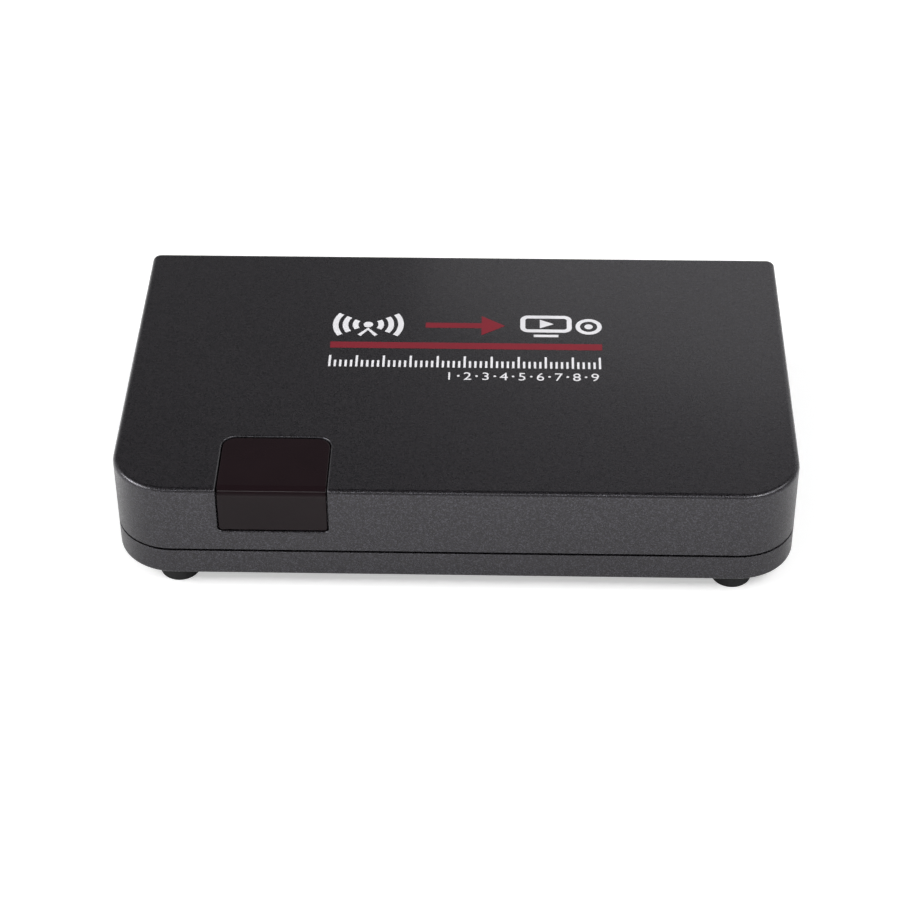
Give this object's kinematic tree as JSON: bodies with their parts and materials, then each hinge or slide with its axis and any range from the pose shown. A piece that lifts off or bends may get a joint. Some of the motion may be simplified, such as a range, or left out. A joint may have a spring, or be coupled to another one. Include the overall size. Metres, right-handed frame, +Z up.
{
  "type": "rf to av converter",
  "caption": "Low graphite set-top box with a smoked receiver window at one front corner, phono sockets, an aerial socket and a power socket at the rear.",
  "frame": {"origin": "middle of the footprint, rear sockets included, on the surface that the feet stand on", "axes": "+X to the right seen from the front, -Y towards the front, +Z up; the rear sockets point along +Y"},
  "size_m": [0.115, 0.0746, 0.0214],
  "materials": {
    "graphite_plastic": "dark graphite with a fine metallic fleck, satin",
    "black_plastic": "fine moulded texture, matt",
    "smoked_window": "dark red-brown tinted acrylic, polished",
    "black_rubber": "matt rubber",
    "blackened_steel": "black zinc",
    "silver_label": "blank foil label, satin",
    "green_board": "solder-masked glass-fibre board",
    "zinc_steel": "bright zinc",
    "tinplate": "tinned steel sheet",
    "tan_board": "paper-based laminate",
    "copper_wire": "enamelled copper",
    "tinned_metal": "tin plated",
    "nickel_plate": "bright nickel plate",
    "white_insulator": "waxy white insulator",
    "gold_plate": "gold flashed",
    "yellow_plastic": "moulded yellow",
    "white_plastic": "moulded white",
    "red_plastic": "moulded red",
    "spring_bronze": "spring bronze strip",
    "chip_resin": "moulded epoxy",
    "aluminium_can": "drawn aluminium",
    "blue_sleeve": "shrunk sleeve",
    "ferrite": "sintered ferrite",
    "resistor_glaze": "glazed",
    "ceramic_body": "tan ceramic",
    "receiver_resin": "dark resin",
    "red_lamp": "diffused red resin"
  },
  "bodies": {
    "converter": {"top_cover": "graphite_plastic", "bottom_cover": "graphite_plastic", "rear_panel": "black_plastic", "ir_window": "smoked_window", "rubber_feet": "black_rubber", "case_screws": "blackened_steel", "base_label": "silver_label", "main_board": "green_board", "board_screws": "zinc_steel", "tuner_frame": "tinplate", "tuner_lid": "tinplate", "tuner_board": "tan_board", "tuner_coils": "copper_wire", "tuner_pins": "tinned_metal", "rf_port": "nickel_plate", "rf_insulator": "white_insulator", "rf_contact": "gold_plate", "rca_housings": "black_plastic", "rca_sleeve_video": "nickel_plate", "rca_sleeve_left": "nickel_plate", "rca_sleeve_right": "nickel_plate", "rca_insert_video": "yellow_plastic", "rca_insert_left": "white_plastic", "rca_insert_right": "red_plastic", "rca_contact_video": "gold_plate", "rca_contact_left": "gold_plate", "rca_contact_right": "gold_plate", "rca_terminals": "tinned_metal", "dc_housing": "black_plastic", "dc_pin": "nickel_plate", "dc_leaf_terminal": "tinned_metal", "dc_break_contact": "tinned_metal", "decoder_chip": "chip_resin", "decoder_pins": "tinned_metal", "controller_chip": "chip_resin", "controller_pins": "tinned_metal", "memory_chip": "chip_resin", "memory_pins": "tinned_metal", "regulator_body": "chip_resin", "regulator_tab": "tinned_metal", "crystal_cans": "tinplate", "saw_filter": "chip_resin", "capacitor_cans": "aluminium_can", "capacitor_sleeves": "blue_sleeve", "choke_core": "ferrite", "choke_winding": "copper_wire", "chip_resistors": "resistor_glaze", "chip_capacitors": "ceramic_body", "ir_receiver": "receiver_resin", "ir_leads": "tinned_metal", "status_led": "red_lamp", "led_leads": "tinned_metal"},
    "dc_leaf_contact": {"dc_leaf": "spring_bronze"}
  },
  "joints": [
    {"name": "dc_leaf_flex", "type": "hinge", "parent": "converter", "child": "dc_leaf_contact", "pos_m": [-0.04239, 0.018, 0.0129], "axis": [0, 0, 1], "range_deg": [0, 3], "stiffness_Nm_per_rad": 0.02, "springref_deg": -1.15}
  ]
}
